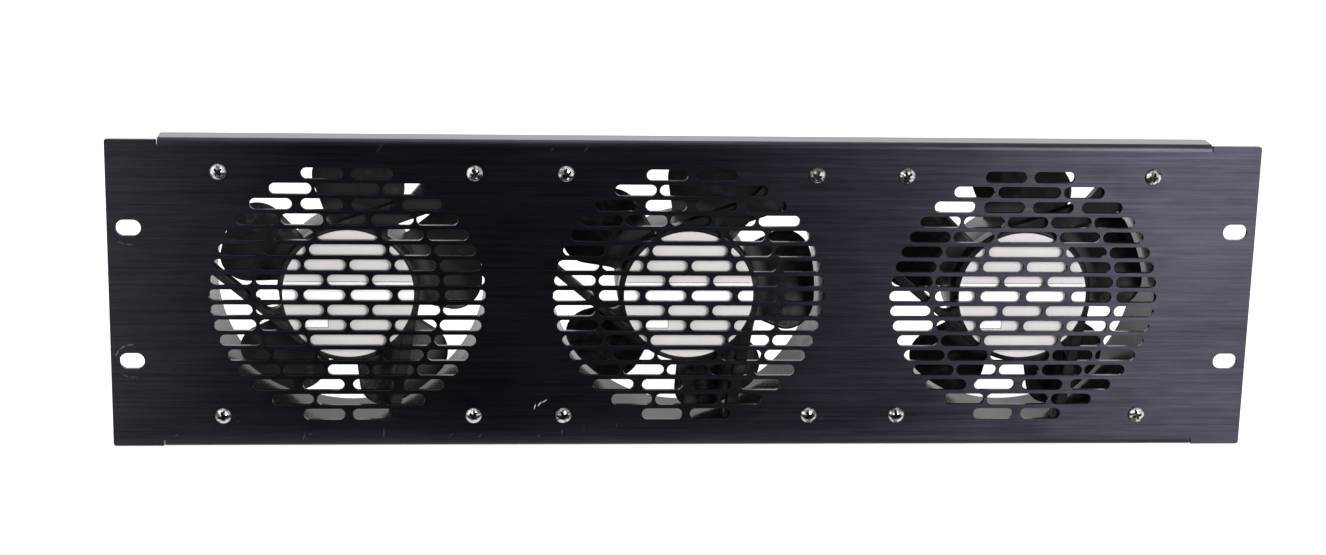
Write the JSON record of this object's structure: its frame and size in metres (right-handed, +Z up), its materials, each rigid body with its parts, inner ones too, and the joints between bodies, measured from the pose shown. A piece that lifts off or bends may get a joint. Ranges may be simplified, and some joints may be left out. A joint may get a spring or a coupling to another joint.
{
  "type": "rack fan tray",
  "caption": "Rack panel in black brushed sheet with slotted round grilles, each over a square axial fan with a die-cast frame and a free-spinning bladed impeller.",
  "frame": {"origin": "centre of the four rack slots, on the back face of the panel, which bears on the rack's rails", "axes": "+X to the right along the panel seen from its front, +Y back into the rack and along the fans' axes, +Z up"},
  "size_m": [0.4826, 0.0423, 0.1326],
  "materials": {
    "panel_aluminium": "brushed and black anodised",
    "nickel_steel": "bright nickel plate",
    "zinc_steel": "zinc plate",
    "frame_casting": "black semi-gloss paint on die-cast alloy",
    "label_foil": "plain silver foil",
    "electrical_steel": "stacked laminations",
    "copper_winding": "enamelled copper",
    "bearing_steel": "ground",
    "terminal_plastic": "moulded",
    "terminal_metal": "tinned",
    "lead_sleeve": "sleeving",
    "impeller_plastic": "moulded, slight sheen",
    "rotor_steel": "deep drawn",
    "cage_metal": "cast and turned",
    "spring_steel": "oil black"
  },
  "bodies": {
    "tray": {"front_panel": "panel_aluminium", "fan_screws": "nickel_steel", "lock_washers": "zinc_steel", "hex_nuts": "zinc_steel", "fan_1_frame": "frame_casting", "fan_1_label": "label_foil", "fan_1_stator_core": "electrical_steel", "fan_1_coils": "copper_winding", "fan_1_shading_rings": "copper_winding", "fan_1_outer_races": "bearing_steel", "fan_1_terminal_block": "terminal_plastic", "fan_1_terminal_tabs": "terminal_metal", "fan_1_lead": "lead_sleeve", "fan_2_frame": "frame_casting", "fan_2_label": "label_foil", "fan_2_stator_core": "electrical_steel", "fan_2_coils": "copper_winding", "fan_2_shading_rings": "copper_winding", "fan_2_outer_races": "bearing_steel", "fan_2_terminal_block": "terminal_plastic", "fan_2_terminal_tabs": "terminal_metal", "fan_2_lead": "lead_sleeve", "fan_3_frame": "frame_casting", "fan_3_label": "label_foil", "fan_3_stator_core": "electrical_steel", "fan_3_coils": "copper_winding", "fan_3_shading_rings": "copper_winding", "fan_3_outer_races": "bearing_steel", "fan_3_terminal_block": "terminal_plastic", "fan_3_terminal_tabs": "terminal_metal", "fan_3_lead": "lead_sleeve"},
    "fan_1_rotor": {"fan_1_impeller": "impeller_plastic", "fan_1_rotor_cup": "rotor_steel", "fan_1_rotor_cage": "cage_metal", "fan_1_shaft": "bearing_steel", "fan_1_inner_races": "bearing_steel", "fan_1_shaft_clip": "spring_steel", "fan_1_preload_washer": "spring_steel"},
    "fan_2_rotor": {"fan_2_impeller": "impeller_plastic", "fan_2_rotor_cup": "rotor_steel", "fan_2_rotor_cage": "cage_metal", "fan_2_shaft": "bearing_steel", "fan_2_inner_races": "bearing_steel", "fan_2_shaft_clip": "spring_steel", "fan_2_preload_washer": "spring_steel"},
    "fan_3_rotor": {"fan_3_impeller": "impeller_plastic", "fan_3_rotor_cup": "rotor_steel", "fan_3_rotor_cage": "cage_metal", "fan_3_shaft": "bearing_steel", "fan_3_inner_races": "bearing_steel", "fan_3_shaft_clip": "spring_steel", "fan_3_preload_washer": "spring_steel"}
  },
  "joints": [
    {"name": "fan_1_spin", "type": "hinge", "parent": "tray", "child": "fan_1_rotor", "pos_m": [-0.14288, 0.0185, 0], "axis": [0, 1, 0], "continuous": true},
    {"name": "fan_2_spin", "type": "hinge", "parent": "tray", "child": "fan_2_rotor", "pos_m": [0, 0.0185, 0], "axis": [0, 1, 0], "continuous": true},
    {"name": "fan_3_spin", "type": "hinge", "parent": "tray", "child": "fan_3_rotor", "pos_m": [0.14288, 0.0185, 0], "axis": [0, 1, 0], "continuous": true}
  ]
}
